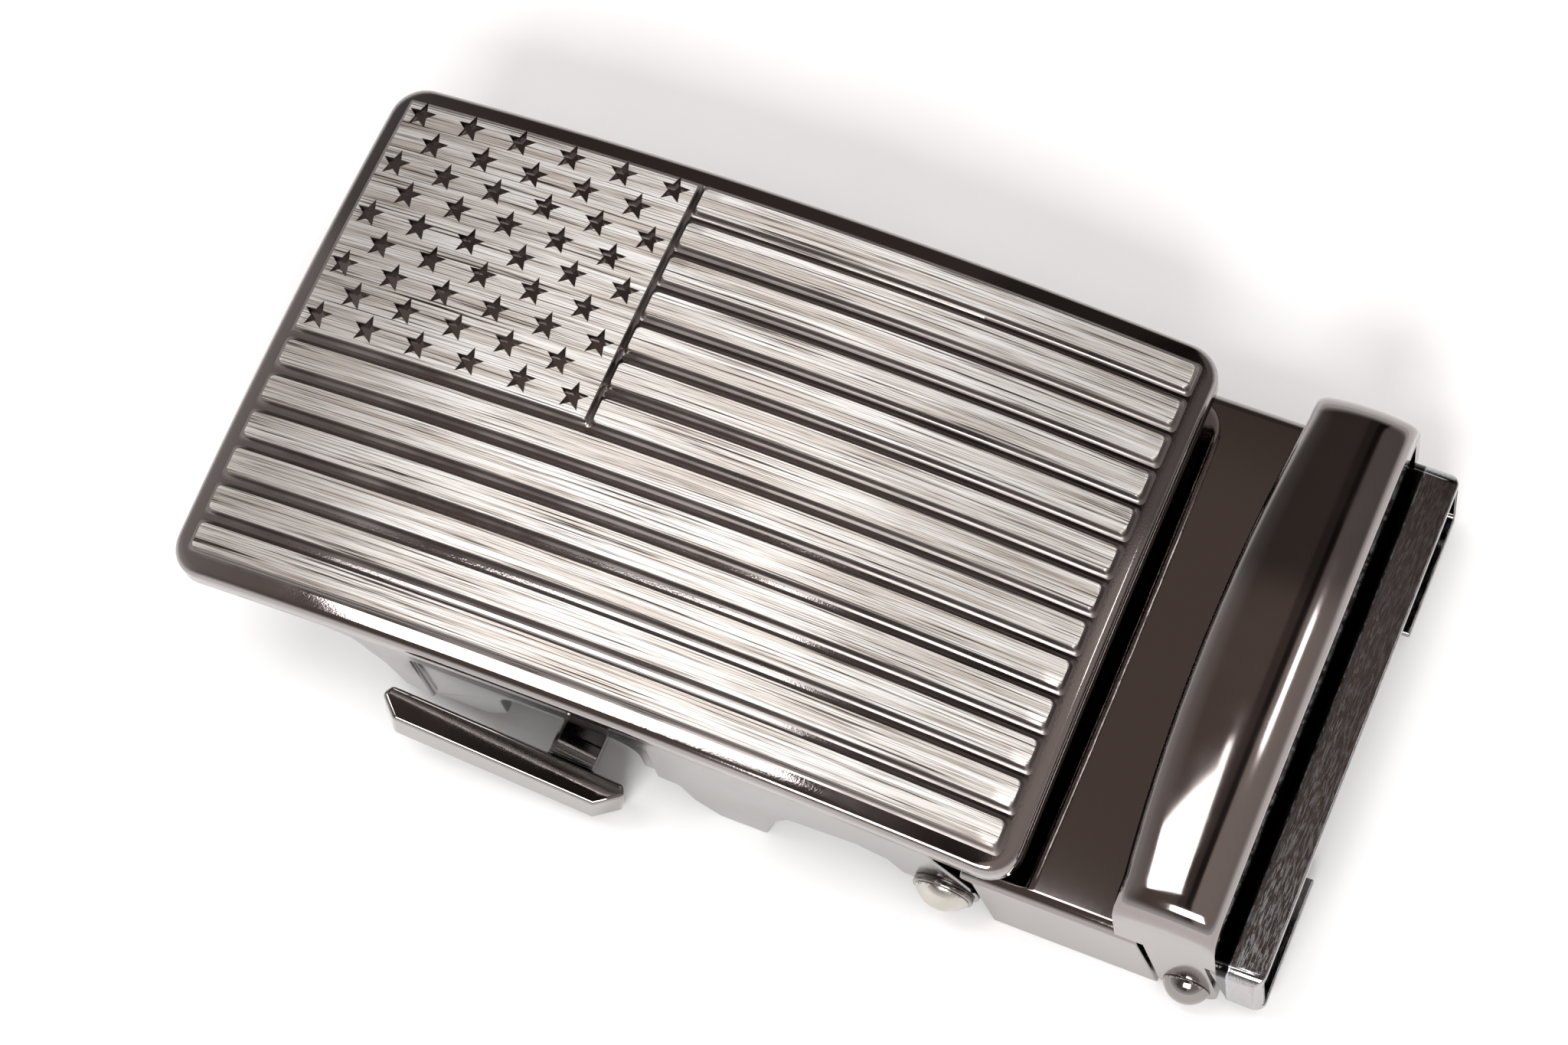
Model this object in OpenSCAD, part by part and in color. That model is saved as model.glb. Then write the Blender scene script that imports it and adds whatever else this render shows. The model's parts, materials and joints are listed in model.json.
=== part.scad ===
// Automatic belt buckle for a ratchet strap.
// A domed face plate covers a cast frame, in which a sprung pawl catches the
// strap's ratchet track. A thumb lever beside the frame releases the pawl.
// A sheet-steel clip, hinged to the frame, clamps the strap's cut end and
// carries the keeper bar that the free end passes under.
//
// The buckle lies on its back. +X runs along the strap towards the clip, +Z is
// the front and z = 0 is the rear plane. The modules work from the centre of
// the face plate, and buckle() moves them to the centre of the footprint.

/* [Face plate] */
// Length of the face plate along the strap
face_len = 63.4; // [63:0.1:64]
// Width of the face plate across the strap
face_w = 40; // [40:0.1:41]
// Radius of the face plate's corners
face_corner_r = 2.4; // [1.5:0.1:3]
// Radius of the spherical dome of the front
dome_r = 200; // [195:5:240]
// Height of the stripes' crown above the rear plane
crown_z = 18; // [17.9:0.1:18.4]
// Thickness of the plate from the stripes' tops to its underside
face_t = 2.6; // [2.4:0.1:2.7]

/* [Flag relief] */
// Length of the relief along the strap
relief_len = 60.3; // [60:0.1:61]
// Width of one stripe
stripe_w = 2.03; // [1.8:0.01:2.2]
// Distance from one stripe to the next
stripe_pitch = 2.89; // [2.85:0.01:2.89]
// Height of the stripes above the plate
relief_h = 0.45; // [0.3:0.05:0.6]
// Length of the star field
canton_len = 23.2; // [22:0.1:24]
// Radius from a star's centre to its points
star_r = 0.8; // [0.6:0.05:0.9]

/* [Frame] */
// Width over the frame's side walls
frame_w = 38.8; // [38.7:0.1:39]
// Thickness of a side wall
wall_t = 1.3; // [1.2:0.1:1.4]
// Height of the ceiling of the strap channel
deck_z = 12.5; // [12.5:0.1:12.7]

/* [Pawl] */
// Distance of the pawl's pin from the face plate's centre
pawl_x = 9.5; // [9:0.1:10]
// Height of the pawl's pin
pawl_z = 4; // [3.9:0.1:4.1]
// Radius of the pawl's pin
pin_r = 1; // [0.9:0.1:1.1]
// Angle at which the spring holds the pawl up
pawl_tilt = 11; // [10:0.5:12]
// Length of the thumb bar
lever_len = 18.4; // [17:0.1:19]

/* [Clip] */
// Height of the clip's top face
clip_z = 8.8; // [8.7:0.1:8.8]
// Thickness of the sheet that the clip is bent from
sheet_t = 0.7; // [0.6:0.1:0.8]
// Distance of the clip's hinge from the face plate's centre
link_x = 26; // [25.9:0.1:26.1]
// Height of the clip's hinge
link_z = 4; // [3.9:0.1:4.2]
// Distance of the jaw's hinge from the face plate's centre
jaw_x = 43.5; // [43.4:0.1:43.6]
// Height of the jaw's hinge
jaw_z = 2.3; // [2.3:0.1:2.4]
// Distance of the clip's open end from the face plate's centre
clip_end_x = 48.9; // [48.8:0.1:49.2]
// Height of the gap under the keeper bar
keeper_gap = 4.3; // [4.2:0.1:4.4]

/* [Hidden] */
$fn = 64;

black_chrome = [0.16, 0.15, 0.16];
gunmetal = [0.32, 0.30, 0.31];
nickel = [0.76, 0.73, 0.68];
steel = [0.55, 0.54, 0.53];

run_gap = 0.05;              // radial clearance of a shaft that turns in its hole
side_gap = 0.1;              // clearance between faces that slide past each other
bend_r = 0.9;                // outer radius of the bends in the clip's sheet

stripe_count = 13;
canton_stripes = 7;          // stripes that the star field is as tall as
relief_w = (stripe_count - 1) * stripe_pitch + stripe_w;
groove = stripe_pitch - stripe_w;

frame_x0 = -22.5;            // ends of the frame's deck
frame_x1 = 25.6;
frame_y = frame_w / 2;       // outer face of a side wall
frame_in_y = frame_y - wall_t;
pin_reach = frame_in_y + 0.8;  // ends of the pins, which are blind in the walls
ear_r = 2.5;                 // radius of the ears around the clip's hinge
tab_y = frame_y - sheet_t - side_gap;  // outer face of the clip's hinge tabs
link_r = 1;                  // shank radius of the clip hinge's rivets
washer_t = 0.5;
link_head_h = 1.1;

exit_bar_x = -11;            // bars that the strap slides over
exit_bar_z = 6.8;
exit_bar_r = 1.2;
entry_bar_x = 17.5;
entry_bar_z = 7.5;
entry_bar_r = 0.8;

wire_r = 0.25;               // wire of the torsion spring
coil_r = pin_r + 0.1 + wire_r;
coil_turns = 9;
coil_pitch = 1.8 * wire_r;   // the turns lie close together

pawl_t = 1.2;                // thickness of the pawl's plate
pawl_under = -coil_r + wire_r + 0.02;  // underside of the plate, which the spring lifts
pawl_y = 11;                 // half of the pawl's width
pawl_ear_w = 2.2;
tooth_x = -13.8;             // edge of the pawl furthest from its pin
tooth_z = 3.2;               // height of the tooth above the pin's level
lever_y = 20.8;              // inner face of the thumb bar
lever_d = 2.2;               // depth of the thumb bar across the strap
lever_top = -0.7;            // front face of the thumb bar
lever_t = 4.1;               // thickness of the thumb bar
stem_x = -11.1;              // middle of the lever's stem, from the pin
stem_w = 3.4;
screw_x = -10.1;             // place of the screw, clear of the tooth
screw_y = -9.3;
screw_r = 0.6;
screw_head_r = 0.9;

flange_x0 = 27.4;            // end of the clip's sheet under the face plate
flange_x1 = 40.1;            // end of the flanges in front of the keeper's legs
open_x0 = 45.2;              // start of the clip's open end
lip_z = 1.6;                 // underside of the lips behind the strap
lip_y = 9.4;                 // free edge of the lips
keeper_x0 = 38.4;            // edges and crown of the keeper bar
keeper_x1 = 45.8;
keeper_top = 17.3;
keeper_side_z = 15.8;
cheek_r = 2;                 // radius of the keeper bar's shoulders
leg_t = 0.8;                 // thickness of the keeper bar's legs
leg_end_r = 2.2;
jaw_r = 0.9;                 // shank radius of the jaw hinge's rivets
jaw_head_h = 1.3;
jaw_y = frame_y - leg_t - side_gap;  // outer face of the jaw's ears
jaw_ear_t = 0.6;
flap_x0 = 30.6;              // free edge of the flap
flap_z = 1.4;                // underside of the flap
flap_t = 0.9;
bite_count = 9;              // teeth along the flap's edge
bite_pitch = 3.6;

mid_x = (clip_end_x - face_len / 2) / 2;
mid_y = (frame_y + washer_t + link_head_h - lever_y - lever_d) / 2;

// ---- helpers ----

// Rectangle with true round corners, centred on the origin
module rounded_rect(size_x, size_y, r) {
    square([size_x - 2 * r, size_y], center = true);
    square([size_x, size_y - 2 * r], center = true);
    for (sx = [-1, 1], sy = [-1, 1])
        translate([sx * (size_x / 2 - r), sy * (size_y / 2 - r)]) circle(r);
}

// Extrudes a profile drawn in x and z from y0 to y1
module along_y(y0, y1) {
    translate([0, y1, 0]) rotate([90, 0, 0]) linear_extrude(y1 - y0) children();
}

// Extrudes a profile drawn in y and z from x0 to x1
module along_x(x0, x1) {
    translate([x0, 0, 0]) rotate([90, 0, 90]) linear_extrude(x1 - x0) children();
}

// Repeats a shape on the near (-Y) and the far side
module both_sides() {
    children();
    mirror([0, 1, 0]) children();
}

// Solid ball whose top is the dome with this crown height
module dome(crown) {
    translate([0, 0, crown - dome_r]) sphere(dome_r, $fn = 240);
}

// Round rod along y with its axis at x, z
module rod_y(x, z, r, y0, y1) {
    along_y(y0, y1) translate([x, z]) circle(r);
}

// Rivet on the near side: a shank from its tail to the head's seat, and a domed head
module rivet(x, z, shank_r, head_r, head_h, y_tail, y_seat) {
    ball_r = (head_r * head_r + head_h * head_h) / (2 * head_h);
    rod_y(x, z, shank_r, -y_seat, -y_tail);
    intersection() {
        translate([x, -y_seat + ball_r - head_h, z]) sphere(ball_r);
        rod_y(x, z, head_r + 1, -y_seat - head_h - 1, -y_seat);
    }
}

// ---- face plate ----

module star() {
    polygon([for (i = [0:9]) (i % 2 == 0 ? star_r : star_r * 0.42) * [sin(i * 36), cos(i * 36)]]);
}

// Rows of six and five stars by turns, fifty in all
module star_rows() {
    step_x = (canton_len - 2.8) / 10;
    step_y = step_x * 1.047;
    for (row = [0:8], col = [0:10])
        if ((row + col) % 2 == 0)
            translate([-relief_len / 2 + 1.26 + col * step_x, relief_w / 2 - 0.92 - row * step_y]) star();
}

// The stripes beside the star field start at its edge, the others at the relief's end
module stripe_outlines() {
    for (i = [0:stripe_count - 1]) {
        x0 = -relief_len / 2 + (i < canton_stripes ? canton_len + groove / 2 : 0);
        x1 = relief_len / 2;
        translate([(x0 + x1) / 2, relief_w / 2 - stripe_w / 2 - i * stripe_pitch])
            rounded_rect(x1 - x0, stripe_w, 0.35);
    }
}

module canton_outline() {
    h = (canton_stripes - 1) * stripe_pitch + stripe_w;
    difference() {
        translate([-relief_len / 2, relief_w / 2 - h]) square([canton_len, h]);
        star_rows();
    }
}

// Posts on the back of the face plate, spread in the deck's holes
module face_studs() {
    for (x = [-16, 16], y = [-11, 11])
        translate([x, y, deck_z + 0.3]) cylinder(h = 1.8, r = 1.2);
}

module face_plate() {
    color(gunmetal) intersection() {
        dome(crown_z - relief_h);
        difference() {
            translate([0, 0, deck_z - 3]) linear_extrude(9) rounded_rect(face_len, face_w, face_corner_r);
            dome(crown_z - face_t);
        }
    }
    color(nickel) intersection() {
        dome(crown_z);
        difference() {
            translate([0, 0, deck_z - 1]) linear_extrude(9) {
                stripe_outlines();
                canton_outline();
            }
            dome(crown_z - relief_h - 0.1);
        }
    }
    color(gunmetal) face_studs();
}

// ---- frame ----

// Side wall seen from the side; its front is cut off by the dome
module wall_profile() {
    polygon([[frame_x0, 13.5], [frame_x0, 11.5], [-18, 10.8], [-16.2, 7.4], [-15.4, 4], [-13.3, 2.6],
             [-9, 2.6], [-7.4, 4.4], [4.4, 4.4], [6, 4.2], [6.8, 1.8], [8.6, 0], [12.2, 0],
             [13.4, 4.2], [14.6, 6], [19.6, 6.5], [21.8, 5.6], [22.9, 3.6], [23.4, 6],
             [frame_x1, 9.6], [frame_x1, 13.5]]);
}

// Opening that the lever's stem swings in, with a round crown
module stem_window() {
    crown_r = 2;
    x0 = -7.4;
    x1 = 3.2;
    spring_z = 6.5;
    translate([x0, -1]) square([x1 - x0, spring_z + 1]);
    translate([x0 + crown_r, -1]) square([x1 - x0 - 2 * crown_r, spring_z + crown_r + 1]);
    for (x = [x0 + crown_r, x1 - crown_r])
        translate([x, spring_z]) circle(crown_r);
}

module frame_ear() {
    translate([link_x, link_z]) circle(ear_r);
    polygon([[21.8, 6], [frame_x1, 9.6], [link_x + 2.2, link_z + 1.2], [link_x, link_z], [22.9, 3.6]]);
}

module main_frame() {
    color(gunmetal) difference() {
        union() {
            intersection() {
                union() {
                    both_sides() along_y(-frame_y, -frame_in_y) wall_profile();
                    translate([frame_x0, -frame_y + 0.1, deck_z])
                        cube([frame_x1 - frame_x0, frame_w - 0.2, 4]);
                }
                dome(crown_z - face_t);
            }
            both_sides() along_y(-frame_y, -frame_y + sheet_t) frame_ear();
        }
        // room for the clip's hinge tabs inside the ears
        both_sides() rod_y(link_x, link_z, ear_r + 0.4, -frame_y + sheet_t, -frame_in_y + 1);
        rod_y(link_x, link_z, link_r, -frame_y - 1, frame_y + 1);
        // blind holes for the pin and the bars
        rod_y(pawl_x, pawl_z, pin_r, -pin_reach, pin_reach);
        rod_y(exit_bar_x, exit_bar_z, exit_bar_r, -pin_reach, pin_reach);
        rod_y(entry_bar_x, entry_bar_z, entry_bar_r, -pin_reach, pin_reach);
        // shallow recess in the near wall, and the stem's window in it
        along_y(-frame_y - 1, -frame_y + 0.4) translate([-13.4, -1]) square([17.8, 11.6]);
        along_y(-frame_y - 1, -frame_in_y + 1) stem_window();
        face_studs();
    }
}

module exit_bar() {
    color(steel) rod_y(exit_bar_x, exit_bar_z, exit_bar_r, -pin_reach, pin_reach);
}

module entry_bar() {
    color(steel) rod_y(entry_bar_x, entry_bar_z, entry_bar_r, -pin_reach, pin_reach);
}

// ---- pawl, spring and lever, drawn level and then tilted about the pin ----

module at_pawl(tilt = pawl_tilt) {
    translate([pawl_x, 0, pawl_z]) rotate([0, tilt, 0]) children();
}

module lever_screw_shank() {
    translate([screw_x, screw_y, pawl_under - 1.2]) cylinder(h = pawl_t + 1.4, r = screw_r);
}

module pawl() {
    top = pawl_under + pawl_t;
    color(steel) at_pawl() difference() {
        union() {
            translate([tooth_x, -pawl_y, pawl_under]) cube([-tooth_x - 1.2, 2 * pawl_y, pawl_t]);
            // tooth with a slope on the side that the strap enters from
            along_y(-pawl_y, pawl_y)
                polygon([[tooth_x, pawl_under], [tooth_x, tooth_z], [tooth_x + 0.5, tooth_z],
                         [tooth_x + 2.6, top], [tooth_x + 2.6, pawl_under]]);
            both_sides() along_y(-pawl_y, -pawl_y + pawl_ear_w) {
                circle(pin_r + 1);
                polygon([[0, -pin_r - 1], [-4, pawl_under], [-4, top], [0, pin_r + 1]]);
            }
        }
        rod_y(0, 0, pin_r + run_gap, -pawl_y - 1, pawl_y + 1);
        // clearance for the spring's coil
        rod_y(0, 0, coil_r + wire_r + 0.6, -pawl_y + pawl_ear_w, pawl_y - pawl_ear_w);
        lever_screw_shank();
    }
}

module pawl_pin() {
    color(steel) rod_y(pawl_x, pawl_z, pin_r, -pin_reach, pin_reach);
}

// Straight leg that leaves the coil's rear side along +X, turned up by an angle
module spring_leg(y, angle, len) {
    rotate([0, -angle, 0]) translate([0, y, -coil_r]) rotate([0, 90, 0]) cylinder(h = len, r = wire_r, $fn = 24);
}

// Close turns, with one leg under the entry bar and one under the pawl's plate
module pawl_spring() {
    end_y = (coil_turns - 1) / 2 * coil_pitch;
    color(steel) {
        at_pawl() {
            rotate([90, 0, 0]) rotate_extrude() for (i = [0:coil_turns - 1])
                translate([coil_r, i * coil_pitch - end_y]) circle(wire_r, $fn = 24);
            mirror([1, 0, 0]) spring_leg(-end_y, 0, 6);
        }
        at_pawl(0) spring_leg(end_y, 26, 9.6);
    }
}

// Thumb bar seen from the front, with pointed ends
module lever_outline() {
    x1 = -6.6;
    x0 = x1 - lever_len;
    polygon([[x0 + 0.4, -lever_y], [x0, -lever_y - 0.8], [x0 + 1.4, -lever_y - lever_d],
             [x1 - 1.8, -lever_y - lever_d], [x1, -lever_y - 0.8], [x1 - 0.4, -lever_y]]);
}

module release_lever() {
    stem_h = 2.2;
    color(black_chrome) at_pawl() difference() {
        union() {
            translate([0, 0, lever_top - lever_t]) linear_extrude(lever_t) lever_outline();
            translate([stem_x - stem_w / 2, -lever_y - 0.1, pawl_under - stem_h])
                cube([stem_w, lever_y + screw_y + stem_w / 2, stem_h]);
        }
        lever_screw_shank();
    }
}

module lever_screw() {
    head_z = pawl_under + pawl_t;
    color(steel) at_pawl() difference() {
        union() {
            lever_screw_shank();
            translate([screw_x, screw_y, head_z]) cylinder(h = 0.6, r = screw_head_r);
        }
        translate([screw_x - 1.5, screw_y - 0.15, head_z + 0.3]) cube([3, 0.3, 1]);
    }
}

// ---- clip ----

// Channel beside the frame: top sheet and two flanges, bent round, open at the rear
module channel_section() {
    difference() {
        translate([0, clip_z - 10]) rounded_rect(frame_w, 20, bend_r);
        translate([0, clip_z - sheet_t - 10]) rounded_rect(frame_w - 2 * sheet_t, 20, bend_r - sheet_t);
        translate([-frame_w, -20]) square([2 * frame_w, 20]);
    }
}

// Closed section of the open end, with a gap between the lips at the rear
module lip_section() {
    h = clip_z - lip_z;
    translate([0, lip_z + h / 2]) difference() {
        rounded_rect(frame_w, h, bend_r);
        rounded_rect(frame_w - 2 * sheet_t, h - 2 * sheet_t, bend_r - sheet_t);
        translate([-lip_y, -h]) square([2 * lip_y, h - 1]);
    }
}

module hinge_tab() {
    along_y(-tab_y, -tab_y + sheet_t) {
        translate([link_x, link_z]) circle(ear_r - 0.3);
        translate([link_x, link_z - 1.6]) square([4.6, 3.2]);
    }
    along_y(-frame_y + 0.1, -tab_y + sheet_t) translate([29.4, link_z - 1.6]) square([1.2, 3.2]);
}

module base_plate() {
    inner_y = jaw_y;
    color(black_chrome) difference() {
        union() {
            intersection() {
                along_x(flange_x0, flange_x1 + 2) channel_section();
                along_y(-frame_y - 1, frame_y + 1)
                    polygon([[flange_x0, 12], [flange_x0, 8], [28.2, 7.8], [29.4, -1], [flange_x1 + 1.4, -1],
                             [flange_x1, clip_z - sheet_t], [flange_x1, 12]]);
            }
            // top sheet between the keeper's legs
            translate([flange_x1 - 1, -inner_y, clip_z - sheet_t])
                cube([open_x0 - flange_x1 + 2, 2 * inner_y, sheet_t]);
            intersection() {
                along_x(open_x0, clip_end_x) lip_section();
                along_y(-frame_y - 1, frame_y + 1)
                    polygon([[open_x0, 12], [open_x0, clip_z - sheet_t], [open_x0 + 1, 3], [open_x0 + 1.2, 0],
                             [60, 0], [60, 12]]);
                translate([0, 0, -1]) linear_extrude(20)
                    translate([clip_end_x - 10, 0]) rounded_rect(20, frame_w, 1);
            }
            both_sides() hinge_tab();
        }
        both_sides() rod_y(link_x, link_z, link_r + run_gap, -frame_y - 1, -frame_y + 3);
    }
}

// Keeper bar and its cheeks seen from the side: crowned on top, down to the clip's top face
module keeper_section() {
    half = (keeper_x1 - keeper_x0) / 2;
    rise = keeper_top - keeper_side_z;
    crown_r = (half * half + rise * rise) / (2 * rise);
    intersection() {
        translate([keeper_x0 + half, keeper_top - crown_r]) circle(crown_r);
        translate([keeper_x0, keeper_side_z]) square([2 * half, rise + 1]);
    }
    translate([keeper_x0, clip_z]) square([2 * half, keeper_side_z - clip_z]);
}

// Leg that leans towards the open end and goes down to the jaw's hinge
module keeper_leg() {
    polygon([[flange_x1 + 0.5, clip_z], [open_x0 - 0.4, clip_z], [jaw_x + leg_end_r, jaw_z],
             [jaw_x, jaw_z - 1], [flange_x1 + 1.4, jaw_z - 1], [flange_x1 + 1.2, jaw_z + 1]]);
    translate([jaw_x, jaw_z]) circle(leg_end_r);
}

module keeper_bar() {
    inner_y = frame_y - leg_t;
    color(black_chrome) difference() {
        union() {
            intersection() {
                along_y(-frame_y, frame_y) keeper_section();
                along_x(keeper_x0 - 1, keeper_x1 + 1)
                    translate([0, keeper_top - 10]) rounded_rect(frame_w, 20, cheek_r);
            }
            both_sides() along_y(-frame_y, -inner_y) keeper_leg();
        }
        // gap that the strap's free end passes through
        translate([keeper_x0 - 1, -inner_y, -1]) cube([12, 2 * inner_y, clip_z + keeper_gap + 1]);
        rod_y(jaw_x, jaw_z, jaw_r, -frame_y - 1, frame_y + 1);
    }
}

module jaw_flap() {
    edge_x = jaw_x + 1;
    bite_z = flap_z + 2.2;
    color(steel) difference() {
        union() {
            translate([flap_x0, -jaw_y, flap_z]) cube([edge_x - flap_x0, 2 * jaw_y, flap_t]);
            // toothed edge that bites into the strap
            along_x(edge_x - 0.8, edge_x) {
                translate([-jaw_y, flap_z]) square([2 * jaw_y, bite_z - flap_z]);
                for (i = [0:bite_count - 1])
                    translate([(i - (bite_count - 1) / 2) * bite_pitch, bite_z])
                        polygon([[-1.2, -0.1], [1.2, -0.1], [0, 1.3]]);
            }
            both_sides() along_y(-jaw_y, -jaw_y + jaw_ear_t) {
                translate([jaw_x, jaw_z]) circle(1.8);
                translate([jaw_x - 3, flap_z]) square([3.6, jaw_z - flap_z]);
            }
        }
        // thumb notch in the free edge
        translate([flap_x0, 0, flap_z - 1]) cylinder(h = 3, r = 5);
        both_sides() rod_y(jaw_x, jaw_z, jaw_r + run_gap, -jaw_y - 1, -jaw_y + jaw_ear_t + 0.5);
    }
}

// ---- rivets and washers ----

module link_rivet_near() {
    color(nickel) rivet(link_x, link_z, link_r, 2, link_head_h, tab_y - sheet_t, frame_y + washer_t);
}

module link_rivet_far() {
    mirror([0, 1, 0]) link_rivet_near();
}

module link_washer_near() {
    color(black_chrome) difference() {
        rod_y(link_x, link_z, 2.2, -frame_y - washer_t, -frame_y);
        rod_y(link_x, link_z, link_r, -frame_y - washer_t - 1, -frame_y + 1);
    }
}

module link_washer_far() {
    mirror([0, 1, 0]) link_washer_near();
}

module jaw_rivet_near() {
    color(black_chrome) rivet(jaw_x, jaw_z, jaw_r, 1.7, jaw_head_h, jaw_y - jaw_ear_t, frame_y);
}

module jaw_rivet_far() {
    mirror([0, 1, 0]) jaw_rivet_near();
}

// Moves a piece from the face plate's centre to the centre of the footprint
module buckle() {
    translate([-mid_x, -mid_y, 0]) children();
}

buckle() face_plate();
buckle() main_frame();
buckle() exit_bar();
buckle() entry_bar();
buckle() pawl();
buckle() pawl_pin();
buckle() pawl_spring();
buckle() release_lever();
buckle() lever_screw();
buckle() base_plate();
buckle() keeper_bar();
buckle() jaw_flap();
buckle() link_rivet_near();
buckle() link_rivet_far();
buckle() link_washer_near();
buckle() link_washer_far();
buckle() jaw_rivet_near();
buckle() jaw_rivet_far();
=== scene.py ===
"""Looks of the automatic belt buckle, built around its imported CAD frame."""

import json
import math

import bmesh
import bpy
from mathutils import Matrix, Vector
from mathutils.geometry import delaunay_2d_cdt


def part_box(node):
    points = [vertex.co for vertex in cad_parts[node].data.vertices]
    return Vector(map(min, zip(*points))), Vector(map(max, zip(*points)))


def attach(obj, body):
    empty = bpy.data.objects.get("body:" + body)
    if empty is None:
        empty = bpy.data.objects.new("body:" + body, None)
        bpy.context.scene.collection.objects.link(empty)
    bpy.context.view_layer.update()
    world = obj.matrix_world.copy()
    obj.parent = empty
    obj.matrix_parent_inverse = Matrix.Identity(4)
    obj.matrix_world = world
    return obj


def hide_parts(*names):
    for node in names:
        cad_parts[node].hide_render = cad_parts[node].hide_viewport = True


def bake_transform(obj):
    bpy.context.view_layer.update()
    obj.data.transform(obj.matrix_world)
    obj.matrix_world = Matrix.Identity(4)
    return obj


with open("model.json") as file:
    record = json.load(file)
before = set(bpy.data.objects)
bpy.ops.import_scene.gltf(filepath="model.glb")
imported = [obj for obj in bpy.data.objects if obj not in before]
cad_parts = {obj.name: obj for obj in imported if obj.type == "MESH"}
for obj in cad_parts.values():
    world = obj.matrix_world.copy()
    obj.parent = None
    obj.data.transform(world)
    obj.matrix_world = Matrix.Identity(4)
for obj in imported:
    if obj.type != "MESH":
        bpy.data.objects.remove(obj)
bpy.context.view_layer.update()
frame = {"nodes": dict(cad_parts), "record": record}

MM = 0.001
FACE_LO, FACE_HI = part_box("face_plate")
CENTRE = (FACE_LO + FACE_HI) / 2
SLOTS = {part["node"]: part["material_slot"] for part in frame["record"]["subparts"]}

# The face plate and its flag relief, in millimetres from the plate's centre
DOME_R = 200
CROWN_Z = FACE_HI.z / MM
FACE_LEN = (FACE_HI.x - FACE_LO.x) / MM
FACE_W = (FACE_HI.y - FACE_LO.y) / MM
FACE_CORNER_R = 2.4
FACE_EDGE_R = 0.55
BACK_INSET = 1.6
FOOT_CHAMFER = 0.35
FOOT_MIDDLE = 0.1
FACE_T = 2.6
RELIEF_LEN = 60.3
RELIEF_H = 0.45
SHELL_T = FACE_T - RELIEF_H
STRIPE_COUNT = 13
STRIPE_W = 2.03
STRIPE_PITCH = 2.89
RELIEF_W = (STRIPE_COUNT - 1) * STRIPE_PITCH + STRIPE_W
CANTON_LEN = 23.2
CANTON_STRIPES = 7
CANTON_W = (CANTON_STRIPES - 1) * STRIPE_PITCH + STRIPE_W
STRIPE_CORNER_R = 0.35
CANTON_CORNER_R = 0.12
CHAMFER = 0.09
STAR_R = 1.02
STAR_INNER_R = 0.43
STAR_CHAMFER = 0.14
STAR_CLEARANCE = 0.35
STAR_ROWS = 9
STAR_COLUMNS = 11
STAR_LEFT = 1.26
STAR_TOP = 0.92
STAR_SIDE_ROOM = 2.8
STAR_STEP_X = (CANTON_LEN - STAR_SIDE_ROOM) / (STAR_COLUMNS - 1)
STAR_STEP_Y = STAR_STEP_X * 1.047
# How far a flank of the relief lies inside the outline, and how far below the top, down to its sunken foot
RELIEF_FOOT = RELIEF_H + 0.1
FLANK = [(CHAMFER, 0), (0, CHAMFER), (-0.03, 0.2), (-0.09, 0.32), (-0.19, 0.4), (-0.34, RELIEF_H + 0.01),
         (-0.34, RELIEF_FOOT)]

# The clip, its keeper bar and its jaw's hinge
SHEET_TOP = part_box("base_plate")[1].z / MM
HALF_W = 19.4
LEG_IN_Y = 18.6
JAW_X = 43.5
JAW_Z = 2.3
LEG_END_R = 2.2
WORN_X = 46.4
KEEPER_X0 = 38.6
KEEPER_X1 = 45.7
KEEPER_BULGE = 0.9
KEEPER_RIDGE_X = 42.6
KEEPER_CROWN = 17.6
KEEPER_FALL_LEFT = 0.85
KEEPER_FALL_LEFT_POWER = 2.4
KEEPER_FALL_RIGHT = 0.75
KEEPER_FALL_RIGHT_POWER = 2
KEEPER_ARCH = 1.2
KEEPER_ARCH_POWER = 2.5
KEEPER_EDGE_R = 0.7
KEEPER_SHOULDER_R = 2.3
KEEPER_GAP_TOP = 13.1
KEEPER_LEG_X0 = 40.6
KEEPER_LEG_X1 = 44.9
KEEPER_LEG_SLOPE = 0.12
KEEPER_LEG_HEIGHTS = (12.6, 11, SHEET_TOP)
KEEPER_BEVEL = 0.15

# The pawl's torsion spring, coiled round the pawl's pin; angles are in degrees from the foot of a turn
PIN_X = 9.5
PIN_Z = 4
SPRING_R = 1.35
SPRING_END_Y = 1.8
SPRING_TURNS = 8
WIRE_R = 0.22
PAWL_LEG = 6
PAWL_LEG_ANGLE = -11
FRAME_LEG = 9.6
FRAME_LEG_ANGLE = 26
WIRE_BEVEL = 0.04

# Points closer than this, in millimetres, are one, and faces within this many degrees are one flat face
WELD = 0.002
KEEPER_WELD = 0.004
FLAT_ANGLE = 0.6
# Edges sharper than this, in degrees, stay sharp or are bevelled, and faces this level are brushed
SHARP_ANGLE = 40
LEVEL_NORMAL_Z = 0.95

# Depths of the bumps of the materials, in metres
GRAIN_DEPTH = 0.00002
WAVE_DEPTH = 0.00003


def at(x, y, z):
    """The place in the frame, in metres, of a point in millimetres from the face plate's centre."""
    return Vector((CENTRE.x + x * MM, CENTRE.y + y * MM, z * MM))


def dome_z(x, y, crown):
    """Height of the spherical dome over a point, for the dome whose top is at crown."""
    return crown - DOME_R + math.sqrt(DOME_R**2 - x * x - y * y)


# ---- materials ----

def new_material(name, color, roughness, metallic=1.0):
    """A principled material, and its node tree's nodes, links and shader."""
    material = bpy.data.materials.new(name)
    material.use_nodes = True
    nodes, links = material.node_tree.nodes, material.node_tree.links
    shader = nodes["Principled BSDF"]
    shader.inputs["Base Color"].default_value = (*color, 1)
    shader.inputs["Roughness"].default_value = roughness
    shader.inputs["Metallic"].default_value = metallic
    return material, nodes, links, shader


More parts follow.
